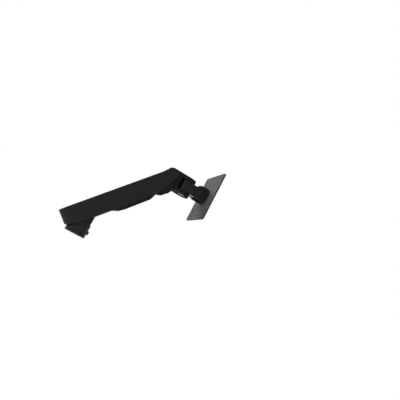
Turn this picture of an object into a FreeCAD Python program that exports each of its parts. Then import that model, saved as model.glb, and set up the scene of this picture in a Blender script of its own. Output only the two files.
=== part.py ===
import FreeCAD
import Part
import Sketcher
import math
import os
import re

# Spring-balanced monitor arm: post hub, parallel-link spring arm, head bracket, swivel neck and
# screen plate. Millimetres. The origin is the mouth of the post socket, +Z up its axis, and +X
# runs from the post towards the screen.

doc = FreeCAD.newDocument("MonitorArm")

SIZES = {
    # reach and pose of the spring arm
    "arm_length": 195.7,
    "arm_elevation": 50.5,
    "lift_range": 75,
    "lift_height": 74,
    "link_back": 4,
    "link_drop": 20,
    # hub
    "hub_radius": 23.5,
    "hub_flat": 21.8,
    "hub_height": 30.6,
    "socket_radius": 18,
    "post_radius": 16,
    "socket_depth": 28,
    "lug_outer": 17.3,
    "lug_inner": 10.5,
    "lug_front": 20,
    "lug_back": 17,
    "lug_shoulder": 50,
    "lug_round": 9.5,
    "screw_height": 14,
    "screw_seat": 5,
    "screw_cap": 4.4,
    # pivots
    "pivot_radius": 4,
    "bush_radius": 6,
    "pivot_head": 6,
    "link_pin": 3,
    "link_cap": 5.2,
    "link_bush": 5,
    "small_key": 2.3,
    "pivot_key": 2.9,
    "running": 0.05,
    "gap": 0.3,
    # housing of the spring arm
    "tail": 69,
    "housing_width": 50,
    "wall": 2.5,
    "housing_rise": 12.65,
    "housing_drop": 29.6,
    "top_end": 11.8,
    "boss_radius": 7,
    "edge_round": 1.6,
    # gas spring
    "gas_drop": 21.35,
    "gas_radius": 9.5,
    "gas_wall": 2,
    "gas_start": 42,
    "gas_end": 131,
    "rod_radius": 4,
    "piston_end": 62,
    "piston_length": 6,
    "plate_radius": 9,
    "plate_thick": 4,
    "roller_radius": 5,
    "roller_forward": 3.8,
    "roller_drop": 27.7,
    "roller_pin_radius": 3,
    "block_start": 125,
    "block_end": 141,
    "block_half": 17,
    "saddle_start": 58,
    "saddle_end": 68,
    "saddle_half": 12,
    "adjust_cap": 6.5,
    "adjust_key": 3.4,
    # lower link
    "link_inner": 17.7,
    "link_thick": 2,
    "link_top": 1,
    "link_bottom": 8,
    "link_round": 8,
    "lobe_radius": 23.5,
    "lobe_back": 11.3,
    "lobe_drop": 4.8,
    "cover_thick": 1.8,
    "cover_floor": 1.6,
    "cover_pin": 1.5,
    "cover_cap": 2.8,
    "cover_start": 56,
    "cover_end": 159,
    "cover_depth": 27.7,
    # head bracket
    "head_round": 15,
    "head_web": 25.2,
    "fork_thick": 8,
    "fork_foot": 29.5,
    "fork_radius": 18.2,
    "pan_reach": 44,
    "pan_pin": 5,
    "pan_cap": 9,
    "pan_key": 3.6,
    "pan_nut_corners": 8.4,
    "barrel_radius": 16,
    "barrel_bore": 8,
    "pan_washer": 14.6,
    "pan_bush_length": 8,
    # tilt joint
    "tilt_reach": 36.5,
    "tilt_drop": 4.5,
    "eye_radius": 12.5,
    "eye_half": 9,
    "neck_half_height": 10.5,
    "shoulder_half": 15,
    "cheek_radius": 17,
    "cheek_inner": 10.1,
    "cheek_outer": 18,
    "sink_depth": 5.4,
    "cap_sink": 7.4,
    "nut_sink": 8.6,
    "tilt_cap": 6.8,
    "tilt_key": 3.5,
    "tilt_washer": 11,
    "disc_base": 8,
    "disc_top": 5.2,
    "nut_corners": 7.5,
    "tilt_nut_thick": 3.6,
    "disc_thick": 1.2,
    "tilt_pin": 4,
    "flange_radius": 20,
    "flange_thick": 4.5,
    "flange_reach": 13.5,
    # screen plate
    "plate_side": 120,
    "plate_depth": 4,
    "plate_corner": 5,
    "large_pattern": 100,
    "small_pattern": 75,
    "screen_hole": 2.5,
    "foot_hole": 3,
    "foot_inset": 10,
    "turn_shoulder": 6,
    "turn_cap": 9,
    "turn_key": 3,
    "turn_washer": 11.5,
    "stop_circle": 14,
    "stop_radius": 1.5,
    # places worked out from the sizes above
    "head_x": "arm_length * cos(arm_elevation * 1deg)",
    "head_z": "lift_height + arm_length * sin(arm_elevation * 1deg)",
    "pan_x": "head_x + pan_reach",
    "tilt_x": "pan_x + tilt_reach",
    "flange_x": "tilt_x + flange_reach",
    "plate_x": "flange_x + flange_thick + 1",
    "head_top": "head_z + head_round",
    "fork_z": "head_z - fork_foot",
    "barrel_foot": "fork_z + fork_thick + 1",
    "barrel_height": "head_top - fork_thick - 1 - barrel_foot",
    "tilt_height": "head_z - tilt_drop",
    "housing_half": "housing_width / 2",
    "inside_half": "housing_width / 2 - wall",
    "link_outer": "link_inner + link_thick",
    "cover_outer": "link_inner + link_thick + cover_thick",
    "roller_x": "roller_forward * cos(arm_elevation * 1deg) - roller_drop * sin(arm_elevation * 1deg)",
    "face_x": "roller_x + roller_radius + 0.5",
}

sheet = doc.addObject("Spreadsheet::Sheet", "Sizes")
WORD = re.compile(r"[a-z_]{3,}")


def linked(text, prefix="Sizes."):
    """An expression in which each size's name points at its cell."""
    return WORD.sub(lambda found: prefix + found.group() if found.group() in SIZES else found.group(), str(text))


for row, (alias, value) in enumerate(SIZES.items(), start=1):
    sheet.set(f"A{row}", alias)
    sheet.set(f"B{row}", str(value) if not isinstance(value, str) else "=" + linked(value, ""))
    sheet.setAlias(f"B{row}", alias)
doc.recompute()


def size(alias):
    return float(getattr(sheet, alias))


def bind(thing, **expressions):
    """Ties properties to the sheet; a double underscore stands for a dot."""
    for path, text in expressions.items():
        thing.setExpression(path.replace("__", "."), linked(text))


def at(thing, place):
    for letter, text in zip("xyz", place):
        bind(thing, **{f"Placement__Base__{letter}": text})
    return thing


def box(name, low, high):
    """A block between two corners."""
    thing = doc.addObject("Part::Box", name)
    sides = [f"({b}) - ({a})" for a, b in zip(low, high)]
    bind(thing, Length=sides[0], Width=sides[1], Height=sides[2])
    return at(thing, low)


TURNS = {
    "z": FreeCAD.Rotation(),
    "y": FreeCAD.Rotation(FreeCAD.Vector(1, 0, 0), -90),
    "x": FreeCAD.Rotation(FreeCAD.Vector(0, 1, 0), 90),
}


def rod(name, axis, start, radius, length):
    """A cylinder that starts at a point and runs along +x, +y or +z."""
    thing = doc.addObject("Part::Cylinder", name)
    thing.Placement.Rotation = TURNS[axis]
    bind(thing, Radius=radius, Height=length)
    return at(thing, start)


def hexagon(name, axis, start, across_corners, length):
    thing = doc.addObject("Part::Prism", name)
    thing.Polygon = 6
    thing.Placement.Rotation = TURNS[axis]
    bind(thing, Circumradius=across_corners, Height=length)
    return at(thing, start)


def fuse(name, *parts):
    thing = doc.addObject("Part::MultiFuse", name)
    thing.Shapes = list(parts)
    thing.Refine = True
    return thing


def common(name, *parts):
    thing = doc.addObject("Part::MultiCommon", name)
    thing.Shapes = list(parts)
    return thing


def cut(name, base, *tools):
    thing = doc.addObject("Part::Cut", name)
    thing.Base = base
    thing.Tool = tools[0] if len(tools) == 1 else fuse(name + "_tool", *tools)
    thing.Refine = True
    return thing


def both(name, make):
    """The same piece on both sides of the arm; make(side) is given -1 and 1."""
    thing = doc.addObject("Part::Compound", name)
    thing.Links = [make(-1), make(1)]
    return thing


def pair_rod(name, x, z, radius, inner, outer):
    """Two cylinders across the arm, one each side, from inner to outer half-width."""
    return both(
        name,
        lambda side: rod(
            f"{name}_{'far' if side > 0 else 'near'}",
            "y",
            (x, inner if side > 0 else f"-({outer})", z),
            radius,
            f"({outer}) - ({inner})",
        ),
    )


def profile(name, corners, width, rounds=None):
    """A side profile, drawn as a sketch in the XZ plane and padded evenly to both sides."""
    body = doc.addObject("PartDesign::Body", name)
    sketch = body.newObject("Sketcher::SketchObject", name + "_outline")
    plane = next(f for f in body.Origin.OriginFeatures if f.Role == "XZ_Plane")
    sketch.AttachmentSupport = [(plane, "")]
    sketch.MapMode = "FlatFace"
    spots = [tuple(value_of(text) for text in corner) for corner in corners]
    count = len(spots)
    for i in range(count):
        a, b = spots[i], spots[(i + 1) % count]
        sketch.addGeometry(Part.LineSegment(FreeCAD.Vector(*a, 0), FreeCAD.Vector(*b, 0)), False)
    for i in range(count):
        sketch.addConstraint(Sketcher.Constraint("Coincident", i, 2, (i + 1) % count, 1))
    for i, corner in enumerate(corners):
        for kind, spot, text in zip(("DistanceX", "DistanceY"), spots[i], corner):
            if abs(spot) < 1e-9:
                line = -2 if kind == "DistanceX" else -1
                sketch.addConstraint(Sketcher.Constraint("PointOnObject", i, 1, line))
                continue
            index = sketch.addConstraint(Sketcher.Constraint(kind, -1, 1, i, 1, spot))
            sketch.setExpression(f"Constraints[{index}]", linked(text))
    pad = body.newObject("PartDesign::Pad", name + "_pad")
    pad.Profile = sketch
    pad.Midplane = True
    pad.setExpression("Length", linked(width))
    sketch.Visibility = False
    doc.recompute()
    if rounds:
        groups = {}
        for index, radius in rounds.items():
            groups.setdefault(radius, []).append(spots[index])
        for step, (radius, places) in enumerate(groups.items()):
            tip = body.Tip
            names = [
                f"Edge{n}"
                for n, edge in enumerate(tip.Shape.Edges, start=1)
                if len(edge.Vertexes) == 2
                and any(all(math.hypot(v.X - x, v.Z - z) < 1e-4 for v in edge.Vertexes) for x, z in places)
            ]
            soft = body.newObject("PartDesign::Fillet", f"{name}_round_{step}")
            soft.Base = (tip, names)
            soft.setExpression("Radius", linked(radius))
            doc.recompute()
    return body


def value_of(text):
    """The number that a sketch corner's expression has now, as a start for the solver."""
    probe = doc.getObject("Probe") or doc.addObject("App::FeaturePython", "Probe")
    if not hasattr(probe, "Number"):
        probe.addProperty("App::PropertyFloat", "Number")
    probe.setExpression("Number", linked(text))
    probe.recompute()
    return probe.Number


NODES = []


def node(name, thing, tilted=False):
    """Names a finished piece. Pieces of the arm are drawn level, about the lift pivot, then raised."""
    if tilted:
        holder = doc.addObject("Part::Compound", name + "_piece")
        holder.Links = [thing]
        holder.Placement.Rotation = FreeCAD.Rotation(FreeCAD.Vector(0, 1, 0), -size("arm_elevation"))
        bind(holder, Placement__Base__z="lift_height")
        thing = holder
    thing.Label = name
    NODES.append((name, thing))


# ---------------------------------------------------------------- hub on the post
hub_round = rod("HubRound", "z", (0, 0, 0), "hub_radius", "hub_height")
hub_sides = box("HubSides", ("-hub_radius", "-hub_flat", 0), ("hub_radius", "hub_flat", "hub_height"))
hub_base = common("HubBase", hub_round, hub_sides)
lugs = profile(
    "HubLugs",
    [
        ("-lug_back", "hub_height - 1"),
        ("lug_front", "hub_height - 1"),
        ("lug_front", "lug_shoulder"),
        ("lug_round", "lift_height"),
        ("-lug_round", "lift_height"),
        ("-lug_round - 4.5", "lug_shoulder"),
    ],
    "2 * lug_outer",
    {2: "6", 5: "6"},
)
lug_head = rod("LugHead", "y", (0, "-lug_outer", "lift_height"), "lug_round", "2 * lug_outer")
spring_slot = box(
    "SpringSlot",
    ("-hub_radius", "-lug_inner", "hub_height + 2.4"),
    ("hub_radius", "lug_inner", "lift_height + lug_round + 1"),
)
post_socket = rod("PostSocket", "z", (0, 0, 0), "socket_radius", "socket_depth")
screw_seat = rod("ScrewSeat", "x", ("hub_radius - 0.7", 0, "screw_height"), "screw_seat", 4)
screw_thread = rod("ScrewThread", "x", ("socket_radius - 1", 0, "screw_height"), "link_pin", 9)
lift_holes = rod("LiftHoles", "y", (0, "-housing_half", "lift_height"), "bush_radius", "housing_width")
link_holes = rod(
    "LinkHoles", "y", ("-link_back", "-housing_half", "lift_height - link_drop"), "link_pin", "housing_width"
)
roller_hole = rod(
    "RollerHole",
    "y",
    ("roller_forward", "-housing_half", "lift_height - roller_drop"),
    "roller_pin_radius",
    "housing_width",
)
hub = cut(
    "Hub",
    fuse("HubBlank", hub_base, lugs, lug_head),
    spring_slot,
    post_socket,
    screw_seat,
    screw_thread,
    lift_holes,
    link_holes,
    roller_hole,
)
node("hub_body", hub)

bush_blank = rod("BushBlank", "z", (0, 0, 0), "socket_radius", "socket_depth")
bush_bore = rod("BushBore", "z", (0, 0, -1), "post_radius", "socket_depth + 2")
node("post_bush", cut("PostBush", bush_blank, bush_bore))

screw_shank = rod("ScrewShank", "x", ("socket_radius", 0, "screw_height"), "link_pin", "hub_radius - socket_radius")
screw_cap = rod("ScrewCap", "x", ("hub_radius - 0.7", 0, "screw_height"), "screw_cap", 3.5)
screw_key = hexagon("ScrewKey", "x", ("hub_radius + 0.8", 0, "screw_height"), "small_key", 3)
node("friction_screw", cut("FrictionScrew", fuse("ScrewBlank", screw_shank, screw_cap), screw_key))

lift_bush_rods = pair_rod("LiftBushRods", 0, "lift_height", "bush_radius", "lug_inner", "lug_outer")
lift_bush_bore = rod(
    "LiftBushBore", "y", (0, "-housing_half", "lift_height"), "pivot_radius + running", "housing_width"
)
node("lift_pivot_bushes", cut("LiftBushes", lift_bush_rods, lift_bush_bore))

node(
    "roller_pin",
    rod(
        "RollerPin",
        "y",
        ("roller_forward", "-lug_outer", "lift_height - roller_drop"),
        "roller_pin_radius",
        "2 * lug_outer",
    ),
)
roller_blank = rod(
    "RollerBlank",
    "y",
    ("roller_forward", "-lug_inner + gap", "lift_height - roller_drop"),
    "roller_radius",
    "2 * lug_inner - 2 * gap",
)
roller_bore = rod(
    "RollerBore",
    "y",
    ("roller_forward", "-lug_inner", "lift_height - roller_drop"),
    "roller_pin_radius + running",
    "2 * lug_inner",
)
node("thrust_roller", cut("ThrustRoller", roller_blank, roller_bore))


def link_screws(name, x, z):
    """A pair of shoulder screws that carry the link plates, with a socket in each head."""
    shanks = pair_rod(name + "Shanks", x, z, "link_pin", "lug_inner", "link_outer + gap + 0.2")
    heads = pair_rod(name + "Heads", x, z, "link_cap", "link_outer + gap", "link_outer + gap + 1.8")
    keys = both(
        name + "Keys",
        lambda side: hexagon(
            f"{name}Key{'Far' if side > 0 else 'Near'}",
            "y",
            (x, "link_outer + gap + 0.7" if side > 0 else "-(link_outer + gap + 3.7)", z),
            "small_key",
            3,
        ),
    )
    return cut(name, fuse(name + "Blank", shanks, heads), keys)


node("link_pivot_screws", link_screws("LinkPivotScrews", "-link_back", "lift_height - link_drop"))

# ---------------------------------------------------------------- spring arm, drawn level
side_profile = profile(
    "HousingSide",
    [
        ("-tail", "housing_rise"),
        ("arm_length", "housing_rise"),
        ("arm_length + 4.1", "-0.947 * housing_rise"),
        ("arm_length - 49.7", "-housing_drop - 0.6"),
        ("-tail + 62", "-housing_drop"),
        ("-tail + 24.4", "-housing_drop + 2.7"),
        ("-tail + 4.5", "-housing_drop + 6.4"),
        ("-tail", "-housing_drop + 9.4"),
    ],
    "housing_width",
    {3: "10"},
)
nose = rod("HousingNose", "y", ("arm_length", "-housing_half", 0), "housing_rise", "housing_width")
plan_long = box(
    "PlanLong", ("housing_half - tail", "-housing_half", -60), ("arm_length + 40", "housing_half", 40)
)
plan_tail = rod("PlanTail", "z", ("housing_half - tail", 0, -60), "housing_half", 100)
housing_solid = common(
    "HousingSolid", fuse("HousingFull", side_profile, nose), fuse("HousingPlan", plan_long, plan_tail)
)
doc.recompute()

soft_housing = doc.addObject("Part::Fillet", "HousingSoft")
soft_housing.Base = housing_solid
top_edges = [
    (n, size("edge_round"), size("edge_round"))
    for n, edge in enumerate(housing_solid.Shape.Edges, start=1)
    if all(abs(v.Z - size("housing_rise")) < 1e-3 for v in edge.Vertexes)
    and abs(edge.CenterOfMass.z - size("housing_rise")) < 1e-3
    and (edge.Length > 30)
    and edge.BoundBox.XLength > 3
]
soft_housing.Edges = top_edges

hollow_long = box(
    "HollowLong",
    ("housing_half - tail", "-inside_half", -60),
    ("arm_length + 40", "inside_half", "housing_rise - wall"),
)
hollow_tail = rod(
    "HollowTail", "z", ("housing_half - tail", 0, -60), "inside_half", "60 + housing_rise - wall"
)
head_window = box(
    "HeadWindow", ("arm_length - top_end", "-inside_half", -20), ("arm_length + 40", "inside_half", 40)
)
shell = cut("HousingShell", soft_housing, hollow_long, hollow_tail, head_window)
lift_bosses = pair_rod("LiftBosses", 0, 0, "boss_radius", "lug_outer + gap", "inside_half + 1")
head_bosses = pair_rod("HeadBosses", "arm_length", 0, "boss_radius", "lug_outer + gap", "inside_half + 1")
stiff_ribs = both(
    "StiffRibs",
    lambda side: box(
        f"StiffRib{'Far' if side > 0 else 'Near'}",
        (20, "cover_outer + 0.4" if side > 0 else "-inside_half - 1", "housing_rise - wall - 3"),
        ("arm_length - 30", "inside_half + 1" if side > 0 else "-cover_outer - 0.4", "housing_rise - 1"),
    ),
)
lift_tap = pair_rod("LiftTap", 0, 0, "pivot_radius", "lug_inner", "inside_half + 1")
head_tap = pair_rod("HeadTap", "arm_length", 0, "pivot_radius", "lug_inner", "inside_half + 1")
housing = cut("Housing", fuse("HousingBossed", shell, lift_bosses, head_bosses, stiff_ribs), lift_tap, head_tap)
node("arm_housing", housing, tilted=True)


def pivot_screws(name, x):
    """A pair of shoulder screws, put in from between the lugs and held in the housing's bosses."""
    shanks = pair_rod(name + "Shanks", x, 0, "pivot_radius", "lug_inner - gap - 1", "inside_half + 1")
    heads = pair_rod(name + "Heads", x, 0, "pivot_head", "lug_inner - gap - 3.2", "lug_inner - gap")
    keys = both(
        name + "Keys",
        lambda side: hexagon(
            f"{name}Key{'Far' if side > 0 else 'Near'}",
            "y",
            (x, "lug_inner - gap - 5.2" if side > 0 else "-(lug_inner - gap - 1.2)", 0),
            "pivot_key",
            4,
        ),
    )
    return cut(name, fuse(name + "Blank", shanks, heads), keys)


node("lift_pivot_screws", pivot_screws("LiftPivotScrews", 0), tilted=True)
node("head_pivot_screws", pivot_screws("HeadPivotScrews", "arm_length"), tilted=True)

tube = rod("GasTube", "x", ("gas_start", 0, "-gas_drop"), "gas_radius", "gas_end - gas_start")
tube_hollow = rod(
    "GasHollow",
    "x",
    ("gas_start + 4", 0, "-gas_drop"),
    "gas_radius - gas_wall",
    "gas_end - gas_start - 8",
)
tube_gland = rod("GasGland", "x", ("gas_start - 1", 0, "-gas_drop"), "rod_radius + running", 6)
node("gas_cylinder", cut("GasCylinder", tube, tube_hollow, tube_gland), tilted=True)

saddle_block = box(
    "SaddleBlock",
    ("saddle_start", "-saddle_half", "-gas_drop + 6"),
    ("saddle_end", "saddle_half", "housing_rise - wall"),
)
saddle_round = rod("SaddleRound", "x", ("saddle_start - 8", 0, "-gas_drop"), "gas_radius", 30)
node("cylinder_saddle", cut("CylinderSaddle", saddle_block, saddle_round), tilted=True)

block = box(
    "BlockBlank",
    ("block_start", "-block_half", "-gas_drop - gas_radius"),
    ("block_end", "block_half", "housing_rise - wall"),
)
block_socket = rod("BlockSocket", "x", ("block_start - 1", 0, "-gas_drop"), "gas_radius", "gas_end - block_start + 1")
block_tap = rod("BlockTap", "x", ("gas_end - 1", 0, "-gas_drop"), "pivot_radius", 20)
block_relief = box("BlockRelief", ("gas_end + 3", -9, "-gas_drop + 9"), ("block_end + 1", 9, "housing_rise - wall - 4"))
node("adjuster_block", cut("AdjusterBlock", block, block_socket, block_tap, block_relief), tilted=True)

adjust_shank = rod("AdjustShank", "x", ("gas_end", 0, "-gas_drop"), "pivot_radius", 20)
adjust_head = rod("AdjustHead", "x", ("gas_end + 16", 0, "-gas_drop"), "adjust_cap", 6)
adjust_key = hexagon("AdjustKey", "x", ("gas_end + 18.5", 0, "-gas_drop"), "adjust_key", 4)
node(
    "tension_screw",
    cut("TensionScrew", fuse("AdjustBlank", adjust_shank, adjust_head), adjust_key),
    tilted=True,
)
nut_blank = hexagon("TensionNutBlank", "x", ("block_end", 0, "-gas_drop"), "nut_corners", 5)
nut_bore = rod("TensionNutBore", "x", ("block_end - 1", 0, "-gas_drop"), "pivot_radius", 8)
node("tension_nut", cut("TensionNut", nut_blank, nut_bore), tilted=True)

node(
    "gas_rod",
    rod(
        "GasRod",
        "x",
        ("face_x + plate_thick", 0, "-gas_drop"),
        "rod_radius",
        "piston_end - face_x - plate_thick - piston_length",
    ),
    tilted=True,
)
node(
    "rod_piston",
    rod(
        "RodPiston",
        "x",
        ("piston_end - piston_length", 0, "-gas_drop"),
        "gas_radius - gas_wall - running",
        "piston_length",
    ),
    tilted=True,
)
node(
    "thrust_plate",
    rod("ThrustPlate", "x", ("face_x", 0, "-gas_drop"), "plate_radius", "plate_thick"),
    tilted=True,
)

# ---------------------------------------------------------------- lower link, drawn level
# Its pivots sit below the arm's by the same offset at both ends, so the four make a parallelogram.
ALONG = "(-link_back * cos(arm_elevation * 1deg) - link_drop * sin(arm_elevation * 1deg))"
BELOW = "(link_drop * cos(arm_elevation * 1deg) - link_back * sin(arm_elevation * 1deg))"


def link_x(text):
    return f"{ALONG} + {text}"


def link_z(text):
    return f"{text} - {BELOW}"


bar = box(
    "LinkBar",
    (link_x("0"), "-link_outer", link_z("-link_bottom")),
    (link_x("arm_length"), "link_outer", link_z("link_top")),
)
bar_hub_end = rod("LinkHubEnd", "y", (link_x("0"), "-link_outer", link_z("0")), "link_round", "2 * link_outer")
bar_head_end = rod(
    "LinkHeadEnd", "y", (link_x("arm_length"), "-link_outer", link_z("0")), "link_round", "2 * link_outer"
)
lobe_disc = rod(
    "LobeDisc",
    "y",
    (link_x("arm_length - lobe_back"), "-link_outer", link_z("-lobe_drop")),
    "lobe_radius",
    "2 * link_outer",
)
lobe_limit = box(
    "LobeLimit",
    (link_x("arm_length - 60"), "-link_outer", link_z("-60")),
    (link_x("arm_length + 60"), "link_outer", link_z("link_top")),
)
lobe = common("Lobe", lobe_disc, lobe_limit)
link_middle = box("LinkMiddle", (-60, "-link_inner", -90), ("arm_length + 60", "link_inner", 40))
link_hub_hole = rod("LinkHubHole", "y", (link_x("0"), -40, link_z("0")), "link_bush", 80)
link_head_hole = rod("LinkHeadHole", "y", (link_x("arm_length"), -40, link_z("0")), "link_bush", 80)
link_plates = cut(
    "LinkPlates",
    fuse("LinkBlank", bar, bar_hub_end, bar_head_end, lobe),
    link_middle,
    link_hub_hole,
    link_head_hole,
)
node("link_side_plates", link_plates, tilted=True)


def link_bush_pair(name, x, play):
    blank = pair_rod(name + "Blank", x, link_z("0"), "link_bush", "link_inner", "link_outer")
    bore = rod(name + "Bore", "y", (x, -40, link_z("0")), f"link_pin + {play}", 80)
    return cut(name, blank, bore)


link_bushes = doc.addObject("Part::Compound", "LinkBushes")
link_bushes.Links = [
    link_bush_pair("LinkHubBushes", link_x("0"), "running"),
    link_bush_pair("LinkHeadBushes", link_x("arm_length"), "2 * running"),
]
node("link_bushes", link_bushes, tilted=True)


def belly(name, inset, width):
    """The tray-shaped belly of the lower cover."""
    return profile(
        name,
        [
            (link_x(f"cover_start + {inset}"), link_z("-3 + link_top")),
            (link_x(f"cover_end - {inset}"), link_z("-3 + link_top")),
            (link_x(f"cover_end - {inset}"), link_z(f"-cover_depth + 7.2 + {inset}")),
            (link_x(f"cover_end - 18 - {inset} * 0.4"), link_z(f"-cover_depth + 0.3 + {inset}")),
            (link_x(f"cover_start + 25 + {inset} * 0.4"), link_z(f"-cover_depth + {inset}")),
            (link_x(f"cover_start + 15 + {inset} * 0.8"), link_z(f"-cover_depth + 0.8 + {inset}")),
            (link_x(f"cover_start + {inset}"), link_z(f"-cover_depth + 8.2 + {inset}")),
        ],
        width,
    )


belly_outer = belly("BellyOuter", "0", "2 * cover_outer")
belly_inner = belly("BellyInner", "cover_floor", "2 * link_outer")
belly_open = box(
    "BellyOpen",
    (link_x("cover_start - 2"), "-link_outer", "-gas_drop - gas_radius - 0.8"),
    (link_x("cover_end + 2"), "link_outer", link_z("6")),
)
COVER_SCREWS = ["cover_start + 12", "cover_end - 12"]


def each_cover_screw(name, radius, inner, outer):
    thing = doc.addObject("Part::Compound", name)
    thing.Links = [
        pair_rod(f"{name}{n}", link_x(x), link_z("-5"), radius, inner, outer) for n, x in enumerate(COVER_SCREWS)
    ]
    return thing


cover_holes = each_cover_screw("CoverHoles", "cover_pin", "link_outer - 1", "cover_outer + 1")
cover_sinks = each_cover_screw("CoverSinks", "cover_cap", "cover_outer - 1", "cover_outer + 1")
node(
    "link_cover",
    cut("LinkCover", belly_outer, belly_inner, belly_open, cover_holes, cover_sinks),
    tilted=True,
)
cover_shanks = each_cover_screw("CoverShanks", "cover_pin", "link_outer", "cover_outer - 0.5")
cover_heads = each_cover_screw("CoverHeads", "cover_cap", "cover_outer - 1", "cover_outer")
node("cover_screws", fuse("CoverScrews", cover_shanks, cover_heads), tilted=True)

# ---------------------------------------------------------------- head bracket
HEAD_BACK = "head_x + head_web"
bracket_block = profile(
    "BracketBlock",
    [
        ("head_x", "head_top"),
        (HEAD_BACK, "head_top"),
        (HEAD_BACK, "fork_z"),
        ("head_x + 3", "fork_z"),
        ("head_x - link_back - 6", "head_z - link_drop - 7"),
        ("head_x - 8", "head_z"),
    ],
    "2 * lug_outer",
)
bracket_head = rod("BracketHead", "y", ("head_x", "-lug_outer", "head_z"), "head_round", "2 * lug_outer")
bracket_lug = rod(
    "BracketLug",
    "y",
    ("head_x - link_back", "-lug_outer", "head_z - link_drop"),
    "lug_round",
    "2 * lug_outer",
)


def fork_plate(name, foot, top):
    straight = box(name + "Straight", (HEAD_BACK + " - 1", "-fork_radius", foot), ("pan_x", "fork_radius", top))
    end = rod(name + "End", "z", ("pan_x", 0, foot), "fork_radius", f"({top}) - ({foot})")
    inside = box(name + "Inside", (HEAD_BACK, "-fork_radius", foot), ("pan_x + fork_radius", "fork_radius", top))
    return common(name, fuse(name + "Blank", straight, end), inside)


fork_top = fork_plate("ForkTop", "head_top - fork_thick", "head_top")
fork_foot = fork_plate("ForkFoot", "fork_z", "fork_z + fork_thick - 0.2")
bracket_slot = box(
    "BracketSlot",
    ("head_x - 40", "-lug_inner", "fork_z - 5"),
    (HEAD_BACK + " - 8", "lug_inner", "head_top - 4"),
)
head_bore = rod("HeadBore", "y", ("head_x", -40, "head_z"), "bush_radius", 80)
link_end_bore = rod("LinkEndBore", "y", ("head_x - link_back", -40, "head_z - link_drop"), "link_pin", 80)
pan_bore = rod("PanBore", "z", ("pan_x", 0, "fork_z - 1"), "pan_pin", "head_top - fork_z + 2")
pan_top_sink = rod("PanTopSink", "z", ("pan_x", 0, "head_top - 4"), "pan_cap + 0.1", 8)
pan_foot_sink = rod("PanFootSink", "z", ("pan_x", 0, "fork_z - 4"), "pan_nut_corners + 0.1", 8)
bracket = cut(
    "Bracket",
    fuse("BracketBlank", bracket_block, bracket_head, bracket_lug, fork_top, fork_foot),
    bracket_slot,
    head_bore,
    link_end_bore,
    pan_bore,
    pan_top_sink,
    pan_foot_sink,
)
node("head_bracket", bracket)

head_bush_rods = pair_rod("HeadBushRods", "head_x", "head_z", "bush_radius", "lug_inner", "lug_outer")
head_bush_bore = rod("HeadBushBore", "y", ("head_x", -40, "head_z"), "pivot_radius + running", 80)
node("head_pivot_bushes", cut("HeadBushes", head_bush_rods, head_bush_bore))
node("link_end_screws", link_screws("LinkEndScrews", "head_x - link_back", "head_z - link_drop"))

pan_shank = rod("PanShank", "z", ("pan_x", 0, "fork_z + 0.5"), "pan_pin", "head_top - fork_z - 1")
pan_head = rod("PanHead", "z", ("pan_x", 0, "head_top - 4"), "pan_cap", 3.6)
pan_key = hexagon("PanKey", "z", ("pan_x", 0, "head_top - 3"), "pan_key", 6)
node("pan_bolt", cut("PanBolt", fuse("PanBlank", pan_shank, pan_head), pan_key))
pan_nut_blank = hexagon("PanNutBlank", "z", ("pan_x", 0, "fork_z + 0.2"), "pan_nut_corners", 3.8)
pan_nut_bore = rod("PanNutBore", "z", ("pan_x", 0, "fork_z - 1"), "pan_pin", 8)
node("pan_nut", cut("PanNut", pan_nut_blank, pan_nut_bore))

# ---------------------------------------------------------------- swivel neck
barrel = rod("Barrel", "z", ("pan_x", 0, "barrel_foot"), "barrel_radius", "barrel_height")
neck_bar = box(
    "NeckBar",
    ("pan_x", "-eye_half", "tilt_height - neck_half_height"),
    ("tilt_x", "eye_half", "tilt_height + neck_half_height"),
)
shoulder_full = box(
    "ShoulderFull",
    ("pan_x", "-shoulder_half", "barrel_foot + 0.5"),
    ("tilt_x - 6", "shoulder_half", "barrel_foot + barrel_height - 0.5"),
)
cheek_room = rod("CheekRoom", "y", ("tilt_x", -20, "tilt_height"), "cheek_radius + 0.7", 40)
neck_shoulder = cut("NeckShoulder", shoulder_full, cheek_room)
neck_eye = rod("NeckEye", "y", ("tilt_x", "-eye_half", "tilt_height"), "eye_radius", "2 * eye_half")
barrel_bore = rod("BarrelBore", "z", ("pan_x", 0, "barrel_foot - 1"), "barrel_bore", "barrel_height + 2")
eye_bore = rod("EyeBore", "y", ("tilt_x", -20, "tilt_height"), "tilt_pin + running", 40)
neck_blank = fuse("NeckBlank", barrel, neck_bar, neck_shoulder, neck_eye)
node("swivel_neck", cut("SwivelNeck", neck_blank, barrel_bore, eye_bore))

upper_bush = rod(
    "UpperBush",
    "z",
    ("pan_x", 0, "barrel_foot + barrel_height - pan_bush_length"),
    "barrel_bore",
    "pan_bush_length",
)
lower_bush = rod("LowerBush", "z", ("pan_x", 0, "barrel_foot"), "barrel_bore", "pan_bush_length")
pan_bush_blank = doc.addObject("Part::Compound", "PanBushBlank")
pan_bush_blank.Links = [lower_bush, upper_bush]
pan_bush_bore = rod("PanBushBore", "z", ("pan_x", 0, "barrel_foot - 1"), "pan_pin + running", "barrel_height + 2")
node("pan_bushes", cut("PanBushes", pan_bush_blank, pan_bush_bore))

washer_low = rod("WasherLow", "z", ("pan_x", 0, "barrel_foot - 0.9"), "pan_washer", 0.9)
washer_high = rod("WasherHigh", "z", ("pan_x", 0, "barrel_foot + barrel_height"), "pan_washer", 0.7)
washer_blank = doc.addObject("Part::Compound", "WasherBlank")
washer_blank.Links = [washer_low, washer_high]
washer_bore = rod("WasherBore", "z", ("pan_x", 0, "barrel_foot - 2"), "pan_pin + 0.1", "barrel_height + 4")
node("pan_washers", cut("PanWashers", washer_blank, washer_bore))

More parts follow.
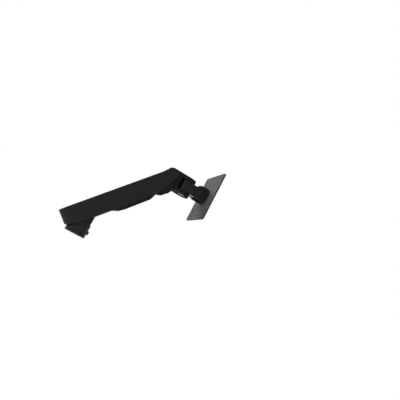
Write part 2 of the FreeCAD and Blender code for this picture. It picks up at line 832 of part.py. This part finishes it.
tilt_washer_rods = pair_rod("TiltWasherRods", "tilt_x", "tilt_height", "tilt_washer", "eye_half", "cheek_inner - gap")
tilt_washer_bore = rod("TiltWasherBore", "y", ("tilt_x", -20, "tilt_height"), "tilt_pin + 0.1", 40)
node("tilt_friction_washers", cut("TiltWashers", tilt_washer_rods, tilt_washer_bore))

# ---------------------------------------------------------------- tilt knuckle and screen plate
cheeks = pair_rod("Cheeks", "tilt_x", "tilt_height", "cheek_radius", "cheek_inner", "cheek_outer")
cheek_front = both(
    "CheekFront",
    lambda side: box(
        f"CheekFront{'Far' if side > 0 else 'Near'}",
        ("tilt_x", "cheek_inner" if side > 0 else "-cheek_outer", "tilt_height - cheek_radius"),
        ("flange_x", "cheek_outer" if side > 0 else "-cheek_inner", "tilt_height + cheek_radius"),
    ),
)
knuckle_wall = box(
    "KnuckleWall",
    ("flange_x - 0.4", "-cheek_outer", "tilt_height - cheek_radius"),
    ("flange_x + 1", "cheek_outer", "tilt_height + cheek_radius"),
)
flange = rod("Flange", "x", ("flange_x", 0, "tilt_height"), "flange_radius", "flange_thick")
cheek_bore = rod("CheekBore", "y", ("tilt_x", -20, "tilt_height"), "tilt_pin", 40)
cap_sink = rod("CapSink", "y", ("tilt_x", "-cheek_outer - 1", "tilt_height"), "cap_sink", "sink_depth + 1")
nut_sink = rod("NutSink", "y", ("tilt_x", "cheek_outer - sink_depth", "tilt_height"), "nut_sink", "sink_depth + 1")
turn_tap = rod("TurnTap", "x", ("flange_x - 2", 0, "tilt_height"), "tilt_pin", 12)
stop_tap = rod("StopTap", "x", ("flange_x + 1.5", 0, "tilt_height + stop_circle"), "stop_radius", 8)
knuckle = cut(
    "Knuckle",
    fuse("KnuckleBlank", cheeks, cheek_front, knuckle_wall, flange),
    cheek_bore,
    cap_sink,
    nut_sink,
    turn_tap,
    stop_tap,
)
node("tilt_knuckle", knuckle)

CAP_SEAT = "-cheek_outer + sink_depth"
NUT_SEAT = "cheek_outer - sink_depth + 2 * disc_thick"
tilt_shank = rod(
    "TiltShank",
    "y",
    ("tilt_x", CAP_SEAT + " - 1", "tilt_height"),
    "tilt_pin",
    "2 * (cheek_outer - sink_depth) + 2 * disc_thick + tilt_nut_thick + 1.2",
)
tilt_cap = rod("TiltCap", "y", ("tilt_x", CAP_SEAT + " - 4.6", "tilt_height"), "tilt_cap", 4.6)
tilt_key = hexagon("TiltKey", "y", ("tilt_x", CAP_SEAT + " - 6", "tilt_height"), "tilt_key", 4)
node("tilt_bolt", cut("TiltBolt", fuse("TiltBlank", tilt_shank, tilt_cap), tilt_key))


def dished(name, y):
    """One dished spring washer: a thin cone frustum with a matching hollow."""
    outer = doc.addObject("Part::Cone", name + "Outer")
    outer.Placement.Rotation = TURNS["y"]
    bind(outer, Radius1="disc_base", Radius2="disc_top", Height="disc_thick")
    at(outer, ("tilt_x", y, "tilt_height"))
    bore = rod(name + "Bore", "y", ("tilt_x", f"{y} - 1", "tilt_height"), "tilt_pin", 4)
    return cut(name, outer, bore)


disc_springs = doc.addObject("Part::Compound", "DiscSprings")
disc_springs.Links = [
    dished("DiscInner", "cheek_outer - sink_depth"),
    dished("DiscOuter", "cheek_outer - sink_depth + disc_thick"),
]
node("tilt_disc_springs", disc_springs)
tilt_nut_blank = hexagon(
    "TiltNutBlank", "y", ("tilt_x", NUT_SEAT, "tilt_height"), "nut_corners", "tilt_nut_thick"
)
tilt_nut_bore = rod("TiltNutBore", "y", ("tilt_x", "cheek_inner", "tilt_height"), "tilt_pin", 20)
node("tilt_nut", cut("TiltNut", tilt_nut_blank, tilt_nut_bore))

turn_washer_blank = rod("TurnWasherBlank", "x", ("flange_x + flange_thick", 0, "tilt_height"), "turn_washer", 0.7)
turn_washer_bore = rod("TurnWasherBore", "x", ("flange_x", 0, "tilt_height"), "turn_shoulder + 0.2", 12)
node("rotation_washer", cut("TurnWasher", turn_washer_blank, turn_washer_bore))
node(
    "stop_pin",
    rod("StopPin", "x", ("flange_x + 1.5", 0, "tilt_height + stop_circle"), "stop_radius", "flange_thick + 1.3"),
)
turn_thread = rod("TurnThread", "x", ("flange_x", 0, "tilt_height"), "tilt_pin", "flange_thick + 1")
turn_shoulder = rod(
    "TurnShoulder",
    "x",
    ("flange_x + flange_thick", 0, "tilt_height"),
    "turn_shoulder",
    "plate_depth - 0.7",
)
turn_head = rod("TurnHead", "x", ("plate_x + 2.3", 0, "tilt_height"), "turn_cap", 1.5)
turn_key = hexagon("TurnKey", "x", ("plate_x + 1", 0, "tilt_height"), "turn_key", 5)
node("rotation_screw", cut("TurnScrew", fuse("TurnBlank", turn_thread, turn_shoulder, turn_head), turn_key))

plate_blank = box(
    "PlateBlank",
    ("plate_x", "-plate_side / 2", "tilt_height - plate_side / 2"),
    ("plate_x + plate_depth", "plate_side / 2", "tilt_height + plate_side / 2"),
)
doc.recompute()
soft_plate = doc.addObject("Part::Fillet", "PlateSoft")
soft_plate.Base = plate_blank
soft_plate.Edges = [
    (n, size("plate_corner"), size("plate_corner"))
    for n, edge in enumerate(plate_blank.Shape.Edges, start=1)
    if abs(edge.Length - size("plate_depth")) < 1e-6
]
screen_holes = doc.addObject("Part::Compound", "ScreenHoles")
screen_holes.Links = [
    rod(
        f"ScreenHole{pattern.title().replace('_', '')}{across}{up}".replace("-", "Low"),
        "x",
        ("plate_x - 1", f"{across} * {pattern} / 2", f"tilt_height + {up} * {pattern} / 2"),
        "screen_hole",
        8,
    )
    for pattern in ("large_pattern", "small_pattern")
    for across in (-1, 1)
    for up in (-1, 1)
]
foot_hole = rod("FootHole", "x", ("plate_x - 1", 0, "tilt_height - plate_side / 2 + foot_inset"), "foot_hole", 8)
turn_hole = rod("TurnHole", "x", ("plate_x - 1", 0, "tilt_height"), "turn_shoulder + running", 8)
turn_sink = rod("TurnSink", "x", ("plate_x + 2", 0, "tilt_height"), "turn_cap + gap", 4)
track_outer = rod("TrackOuter", "x", ("plate_x - 1", 0, "tilt_height"), "stop_circle + stop_radius + gap", 3.1)
track_inner = rod("TrackInner", "x", ("plate_x - 2", 0, "tilt_height"), "stop_circle - stop_radius - gap", 6)
track_half = box("TrackHalf", ("plate_x - 2", -20, "tilt_height"), ("plate_x + 3", 20, "tilt_height + 20"))
track_ends = [
    rod(
        f"TrackEnd{name}",
        "x",
        ("plate_x - 1", f"{side} * stop_circle", "tilt_height"),
        "stop_radius + gap",
        3.1,
    )
    for name, side in (("Near", -1), ("Far", 1))
]
track = fuse("Track", common("TrackArc", cut("TrackRing", track_outer, track_inner), track_half), *track_ends)
node(
    "screen_plate",
    cut("ScreenPlate", soft_plate, screen_holes, foot_hole, turn_hole, turn_sink, track),
)

# ---------------------------------------------------------------- check and write
if doc.getObject("Probe"):
    doc.removeObject("Probe")
doc.recompute()
for thing in doc.Objects:
    bad = [state for state in thing.State if state in ("Invalid", "Error")]
    if bad:
        raise RuntimeError(f"{thing.Name}: {bad}")

os.makedirs("parts", exist_ok=True)
for name, thing in NODES:
    shape = thing.Shape
    if shape.isNull() or not shape.isValid() or not shape.Solids:
        raise RuntimeError(f"{name} has no valid solid")
    shape.exportStep(f"parts/{name}.step")
    print(f"{name:24s} solids {len(shape.Solids):2d}  volume {shape.Volume:10.1f}")
print(len(NODES), "nodes")
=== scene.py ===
# Finishes, studio and camera for the spring-balanced screen arm. Every piece is the frame's own mesh,
# with its seams welded, its corners broken and one procedural finish.

import bpy
import bmesh
import math
from mathutils import Matrix, Vector

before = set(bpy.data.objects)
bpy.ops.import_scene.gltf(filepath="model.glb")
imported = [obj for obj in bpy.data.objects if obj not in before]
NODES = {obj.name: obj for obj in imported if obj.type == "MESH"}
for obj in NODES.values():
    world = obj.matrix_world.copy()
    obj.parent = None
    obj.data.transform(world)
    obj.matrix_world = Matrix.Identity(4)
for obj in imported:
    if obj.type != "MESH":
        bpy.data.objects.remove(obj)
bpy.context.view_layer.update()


# ---------------------------------------------------------------- shader writing
class Value:
    """A socket that takes part in Python arithmetic; each operator adds one Math node."""

    def __init__(self, finish, socket):
        self.finish = finish
        self.socket = socket

    def _math(self, operation, left, right):
        return self.finish.node("ShaderNodeMath", {"operation": operation}, {0: left, 1: right})

    def __add__(self, other):
        return self._math("ADD", self, other)

    def __radd__(self, other):
        return self._math("ADD", other, self)

    def __sub__(self, other):
        return self._math("SUBTRACT", self, other)

    def __rsub__(self, other):
        return self._math("SUBTRACT", other, self)

    def __mul__(self, other):
        return self._math("MULTIPLY", self, other)

    def __rmul__(self, other):
        return self._math("MULTIPLY", other, self)

    def clamped(self):
        return self.finish.node("ShaderNodeClamp", {}, {"Value": self})


class Finish:
    """The node tree of a material, or of the world, under construction."""

    def __init__(self, owner):
        self.owner = owner
        owner.use_nodes = True
        self.tree = owner.node_tree
        self.tree.nodes.clear()

    def node(self, kind, settings, sockets, output=0):
        """Adds one node: its settings first, then its sockets' values or links."""
        made = self.tree.nodes.new(kind)
        for setting, value in settings.items():
            if setting == "stops":
                ramp = made.color_ramp
                while len(ramp.elements) < len(value):
                    ramp.elements.new(0.5)
                for element, (position, level) in zip(ramp.elements, value):
                    element.position = position
                    element.color = (level, level, level, 1)
            else:
                setattr(made, setting, value)
        for key, value in sockets.items():
            if isinstance(value, Value):
                self.tree.links.new(value.socket, made.inputs[key])
            else:
                made.inputs[key].default_value = value
        return None if output is None else Value(self, made.outputs[output])

    def noise(self, scale, detail, roughness, stretch=None):
        place = self.node("ShaderNodeTexCoord", {}, {}, "Object")
        if stretch:
            place = self.node("ShaderNodeMapping", {}, {"Vector": place, "Scale": stretch})
        return self.node(
            "ShaderNodeTexNoise",
            {},
            {"Vector": place, "Scale": scale, "Detail": detail, "Roughness": roughness},
            "Fac",
        )

    def ramp(self, value, *stops):
        return self.node("ShaderNodeValToRGB", {"stops": stops}, {"Fac": value}, "Color")

    def blend(self, factor, first, second):
        return self.node(
            "ShaderNodeMix",
            {"data_type": "RGBA"},
            {"Factor": factor, 6: opaque(first), 7: opaque(second)},
            2,
        )

    def edges(self, width, low=0.02, high=0.22):
        """1 on corners sharper than the given width, 0 on flat faces."""
        soft = self.node("ShaderNodeBevel", {"samples": 6}, {"Radius": width})
        face = self.node("ShaderNodeNewGeometry", {}, {}, "Normal")
        product = {"operation": "DOT_PRODUCT"}
        match = self.node("ShaderNodeVectorMath", product, {0: soft, 1: face}, "Value")
        return self.ramp(1 - match, (low, 0.0), (high, 1.0))

    def bump(self, height, distance):
        return self.node("ShaderNodeBump", {}, {"Height": height, "Distance": distance})

    def seen(self):
        """1 for what the camera sees, straight, in a gloss or through glass; 0 for other light."""
        rays = [
            self.node("ShaderNodeLightPath", {}, {}, "Is " + kind + " Ray")
            for kind in ("Camera", "Glossy", "Transmission")
        ]
        return (rays[0] + rays[1] + rays[2]).clamped()

    def end(self, shader, kind="ShaderNodeOutputMaterial"):
        self.node(kind, {}, {"Surface": shader}, None)
        return self.owner

    def close(self, **inputs):
        """Joins the surface shader to the output; the keywords are its sockets' names."""
        sockets = {name.replace("_", " "): value for name, value in inputs.items()}
        return self.end(self.node("ShaderNodeBsdfPrincipled", {}, sockets))


# Texture scales, in features to the metre.
CLOUDS = 34.0
HAND_MARKS = 15.0
PAINT_CHIPS = 230.0
FLOW_MARKS = 30.0
SCUFFS = 240.0
STAINS = 60.0
SCRATCHES = 500.0
# Heights of the surface grain, in metres.
PAINT_GRAIN = 0.000014
MOULD_GRAIN = 0.00002
TOOL_LINES = 0.00002
# Widths of the corner masks, in metres: rubbed wear and polish, and in the powder coat and the steel
# also a painted highlight on every corner.
COAT_EDGE_WEAR_AND_HIGHLIGHT = 0.0006
STEEL_EDGE_POLISH_AND_HIGHLIGHT = 0.0004


def material(name):
    return Finish(bpy.data.materials.new(name))


def opaque(colour):
    return colour if isinstance(colour, Value) else (*colour, 1.0)


def shade(colour, factor):
    return tuple(min(1.0, c * factor) for c in colour)


def powder_coat(name, colour, worn, roughness=0.6, grain=1500.0, coat=0.0, specular=0.05):
    """Fine powder coat: a pebbled skin, faint mottling, and rubbed corners that also carry a painted
    highlight.
    """
    finish = material(name)
    pebble = finish.noise(grain, 3.0, 0.6)
    orange_peel = finish.noise(grain / 5, 2.0, 0.5)
    mottle = finish.noise(CLOUDS, 4.0, 0.6)
    handled = finish.ramp(finish.noise(HAND_MARKS, 3.0, 0.55), (0.42, 0.0), (0.7, 1.0))
    chips = finish.ramp(finish.noise(PAINT_CHIPS, 5.0, 0.7), (0.5, 0.0), (0.66, 1.0))
    corner = finish.edges(COAT_EDGE_WEAR_AND_HIGHLIGHT, 0.06, 0.3)
    tone = finish.blend(mottle, shade(colour, 0.86), shade(colour, 1.14))
    specks = finish.ramp(pebble, (0.6, 0.0), (0.82, 1.0))
    tone = finish.blend(specks * 0.14, tone, shade(colour, 1.6))
    # Painted highlight: every corner is lightened, whether it is worn or not.
    tone = finish.blend(corner * 0.3, tone, shade(colour, 1.9))
    tone = finish.blend(corner * chips * 0.4, tone, worn)
    unevenness = (mottle - 0.5) * 0.12 + (pebble - 0.5) * 0.08
    gloss = coat + handled * (coat / 2) if coat else 0.0
    return finish.close(
        Base_Color=tone,
        Roughness=roughness + unevenness - handled * 0.07 - corner * 0.08,
        Specular_IOR_Level=specular,
        Coat_Weight=gloss,
        Coat_Roughness=0.3,
        Normal=finish.bump(pebble * 0.5 + orange_peel * 0.5, PAINT_GRAIN),
    )


def moulded_plastic(name, colour, roughness=0.62, grain=1300.0, specular=0.06):
    """Moulded plastic with a spark-eroded grain, faint flow marks and polished corners."""
    finish = material(name)
    cells = finish.node(
        "ShaderNodeTexVoronoi",
        {"feature": "F1"},
        {"Vector": finish.node("ShaderNodeTexCoord", {}, {}, "Object"), "Scale": grain},
        "Distance",
    )
    fine = finish.noise(grain * 1.7, 2.0, 0.6)
    flow = finish.noise(FLOW_MARKS, 3.0, 0.5, (1.0, 1.0, 4.0))
    rubbed_and_highlit_edge = finish.edges(COAT_EDGE_WEAR_AND_HIGHLIGHT)
    scuffs = finish.ramp(finish.noise(SCUFFS, 4.0, 0.6), (0.45, 0.0), (0.7, 1.0))
    tone = finish.blend(flow, shade(colour, 0.86), shade(colour, 1.14))
    tone = finish.blend(cells * 0.3, tone, shade(colour, 0.7))
    tone = finish.blend(rubbed_and_highlit_edge * scuffs * 0.5, tone, shade(colour, 2.2))
    return finish.close(
        Base_Color=tone,
        Roughness=roughness + (flow - 0.5) * 0.14 + (fine - 0.5) * 0.08 - rubbed_and_highlit_edge * 0.12,
        Specular_IOR_Level=specular,
        Normal=finish.bump(cells * 0.6 + fine * 0.4, MOULD_GRAIN),
    )


def machined_steel(name, colour, roughness=0.3, turned=(1.0, 1.0, 1.0), scale=900.0):
    """Turned or ground steel: fine tool lines, faint stains, polished rubbed corners lightened by a
    painted highlight.
    """
    finish = material(name)
    lines = finish.noise(scale, 3.0, 0.65, turned)
    stain = finish.noise(STAINS, 5.0, 0.65)
    hairlines = finish.noise(SCRATCHES, 2.0, 0.5, (1.0, 9.0, 1.0))
    scratches = finish.ramp(hairlines, (0.62, 0.0), (0.72, 1.0))
    rubbed_and_highlit_edge = finish.edges(STEEL_EDGE_POLISH_AND_HIGHLIGHT)
    tone = finish.blend(stain, shade(colour, 0.78), shade(colour, 1.15))
    # Scratches are real lighter marks; the lightening of every corner is a painted highlight.
    tone = finish.blend(scratches * 0.25 + rubbed_and_highlit_edge * 0.45, tone, shade(colour, 1.8))
    return finish.close(
        Base_Color=tone,
        Metallic=0.95,
        Roughness=roughness + (lines - 0.5) * 0.2 + (stain - 0.5) * 0.12 - rubbed_and_highlit_edge * 0.08,
        Normal=finish.bump(lines, TOOL_LINES),
    )


# Linear colours.
ARM_GREY = (0.027, 0.027, 0.0275)
HEAD_GREY = (0.024, 0.024, 0.0245)
PLATE_GREY = (0.088, 0.088, 0.089)
BLACK_STEEL = (0.022, 0.022, 0.023)
BARE_CAST = (0.16, 0.16, 0.165)
BARE_PLATE = (0.3, 0.3, 0.31)
ACETAL_CREAM = (0.4, 0.39, 0.35)
SADDLE_BLACK = (0.02, 0.02, 0.0205)
STRUT_BLACK = (0.02, 0.02, 0.02)
STRUT_STEEL = (0.2, 0.2, 0.2)
ZINC = (0.34, 0.34, 0.35)
GROUND_STEEL = (0.4, 0.4, 0.41)
CHROME = (0.6, 0.6, 0.61)

housing_coat = powder_coat("housing_powder_coat", ARM_GREY, BARE_CAST)
hub_coat = powder_coat("hub_satin_coat", shade(ARM_GREY, 0.8), BARE_CAST, roughness=0.38, specular=0.08)
link_coat = powder_coat("link_powder_coat", shade(ARM_GREY, 0.95), BARE_CAST)
head_coat = powder_coat(
    "head_powder_coat", shade(HEAD_GREY, 1.1), BARE_CAST, roughness=0.7, specular=0.01
)
neck_coat = powder_coat(
    "neck_satin_coat", shade(HEAD_GREY, 0.8), BARE_CAST, roughness=0.36, specular=0.09
)
knuckle_coat = powder_coat(
    "knuckle_powder_coat", shade(HEAD_GREY, 1.15), BARE_CAST, roughness=0.62, specular=0.02
)
plate_coat = powder_coat("plate_powder_coat", PLATE_GREY, BARE_PLATE, roughness=0.66)
block_coat = powder_coat("block_powder_coat", shade(ARM_GREY, 0.9), BARE_CAST)
strut_paint = powder_coat(
    "strut_gloss_paint",
    STRUT_BLACK,
    STRUT_STEEL,
    roughness=0.26,
    grain=900.0,
    coat=0.5,
    specular=0.5,
)
cover_plastic = moulded_plastic("cover_moulded_plastic", shade(ARM_GREY, 0.95))
saddle_plastic = moulded_plastic("saddle_moulded_plastic", SADDLE_BLACK, roughness=0.6)
acetal = moulded_plastic("bearing_acetal", ACETAL_CREAM, roughness=0.38, grain=900.0, specular=0.5)
black_screw = machined_steel("black_oxide_screw", BLACK_STEEL, roughness=0.36)
zinc_steel = machined_steel("zinc_plated_steel", ZINC)
ground_pin = machined_steel("ground_pin_steel", GROUND_STEEL, roughness=0.2, turned=(1.0, 6.0, 1.0))
rod_chrome = machined_steel("rod_hard_chrome", CHROME, roughness=0.12, scale=1600.0)

FINISHES = {
    "hub_body": hub_coat,
    "post_bush": acetal,
    "friction_screw": black_screw,
    "lift_pivot_bushes": acetal,
    "roller_pin": ground_pin,
    "thrust_roller": ground_pin,
    "link_pivot_screws": black_screw,
    "arm_housing": housing_coat,
    "lift_pivot_screws": zinc_steel,
    "head_pivot_screws": zinc_steel,
    "gas_cylinder": strut_paint,
    "cylinder_saddle": saddle_plastic,
    "adjuster_block": block_coat,
    "tension_screw": zinc_steel,
    "tension_nut": zinc_steel,
    "gas_rod": rod_chrome,
    "rod_piston": ground_pin,
    "thrust_plate": zinc_steel,
    "link_side_plates": link_coat,
    "link_bushes": acetal,
    "link_cover": cover_plastic,
    "cover_screws": black_screw,
    "head_bracket": head_coat,
    "head_pivot_bushes": acetal,
    "link_end_screws": black_screw,
    "pan_bolt": black_screw,
    "pan_nut": black_screw,
    "swivel_neck": neck_coat,
    "pan_bushes": acetal,
    "pan_washers": saddle_plastic,
    "tilt_friction_washers": saddle_plastic,
    "tilt_knuckle": knuckle_coat,
    "tilt_bolt": black_screw,
    "tilt_disc_springs": zinc_steel,
    "tilt_nut": zinc_steel,
    "rotation_washer": saddle_plastic,
    "stop_pin": zinc_steel,
    "rotation_screw": black_screw,
    "screen_plate": plate_coat,
}
# Widths of the broken corners, in metres; a piece that isn't listed has SMALL_EDGE.
SMALL_EDGE = 0.0003
SOFT_EDGES = {
    "hub_body": 0.0010,
    "arm_housing": 0.0006,
    "head_bracket": 0.0012,
    "swivel_neck": 0.0011,
    "tilt_knuckle": 0.0010,
    "screen_plate": 0.0006,
    "link_cover": 0.0006,
    "link_side_plates": 0.0004,
    "adjuster_block": 0.0006,
}
# Points nearer than SEAM are joined, and corners that turn by more than SHARP_FROM are broken.
SEAM = 0.000002
SHARP_FROM = math.radians(38)

for name, piece in NODES.items():
    piece.data.materials.clear()
    piece.data.materials.append(FINISHES[name])
    weld = piece.modifiers.new("joined_seams", "WELD")
    weld.merge_threshold = SEAM
    edge = piece.modifiers.new("broken_edges", "BEVEL")
    edge.width = SOFT_EDGES.get(name, SMALL_EDGE)
    edge.segments = 3
    edge.limit_method = "ANGLE"
    edge.angle_limit = SHARP_FROM
    smooth = piece.modifiers.new("even_shading", "WEIGHTED_NORMAL")
    smooth.keep_sharp = True

# ---------------------------------------------------------------- studio
WHITE = (1.0, 1.0, 1.0, 1.0)
FLOOR_TONE = (0.8, 0.8, 0.8, 1.0)
FLOOR_RADIUS = 6.0
FLOOR_PLACE = (0.1, 0.0, -0.62)
FLOOR_GLOW = 0.95
ROOM_LIGHT = 0.3

pale = material("studio_floor")
matt = pale.node("ShaderNodeBsdfDiffuse", {}, {"Color": FLOOR_TONE})
glow = pale.node("ShaderNodeEmission", {}, {"Color": WHITE, "Strength": FLOOR_GLOW})
lit = pale.node("ShaderNodeAddShader", {}, {0: matt, 1: glow})
floor_mesh = bpy.data.meshes.new("studio_floor")
floor_tone = pale.node("ShaderNodeMixShader", {}, {0: pale.seen(), 1: matt, 2: lit})
floor_mesh.materials.append(pale.end(floor_tone))
ring = bmesh.new()
bmesh.ops.create_circle(ring, cap_ends=True, radius=FLOOR_RADIUS, segments=96)
ring.to_mesh(floor_mesh)
ring.free()
floor = bpy.data.objects.new("studio_floor", floor_mesh)
floor.location = FLOOR_PLACE
bpy.context.scene.collection.objects.link(floor)

studio = Finish(bpy.data.worlds.new("studio"))
room = studio.node("ShaderNodeBackground", {}, {"Color": WHITE, "Strength": ROOM_LIGHT})
white = studio.node("ShaderNodeBackground", {}, {"Color": WHITE, "Strength": 1.0})
surround = studio.node("ShaderNodeMixShader", {}, {0: studio.seen(), 1: room, 2: white})
bpy.context.scene.world = studio.end(surround, "ShaderNodeOutputWorld")

CENTRE = Vector((0.09, 0.0, 0.14))


def soft_box(name, direction, distance, size, power):
    """A square lamp that faces the arm's middle."""
    lamp = bpy.data.lights.new(name, "AREA")
    lamp.shape = "SQUARE"
    lamp.size = size
    lamp.energy = power
    holder = bpy.data.objects.new(name, lamp)
    away = Vector(direction).normalized()
    holder.location = CENTRE + away * distance
    holder.rotation_mode = "QUATERNION"
    holder.rotation_quaternion = away.to_track_quat("Z", "Y")
    bpy.context.scene.collection.objects.link(holder)


soft_box("key", (-1.0, 0.9, 0.85), 1.5, 1.1, 21)
soft_box("left_fill", (-0.88, -0.46, 0.26), 1.8, 0.5, 9)
soft_box("front_fill", (0.2, -1.0, 0.1), 1.8, 1.4, 2)
soft_box("right_fill", (1.0, 0.2, 0.6), 1.8, 1.2, 5)

# ---------------------------------------------------------------- camera
# The camera looks along +Y, turned by HEADING about Z, up by RISE and about its own line by ROLL.
SENSOR = 36.0
FOCAL_RATIO = 1.12
STAND = (-0.0587, -1.0110, -0.0314)
HEADING = math.radians(-15.208)
RISE = math.radians(12.933)
ROLL = math.radians(27.594)
LEVEL = math.radians(90)

lens = bpy.data.cameras.new("camera")
lens.sensor_width = SENSOR
lens.lens = SENSOR * FOCAL_RATIO
lens.clip_start = 0.02
lens.clip_end = 50.0
camera = bpy.data.objects.new("camera", lens)
aim = Matrix.Rotation(HEADING, 4, "Z") @ Matrix.Rotation(LEVEL + RISE, 4, "X")
camera.matrix_world = Matrix.Translation(STAND) @ aim @ Matrix.Rotation(ROLL, 4, "Z")
bpy.context.scene.collection.objects.link(camera)
bpy.context.scene.camera = camera
bpy.context.scene.view_settings.view_transform = "Standard"
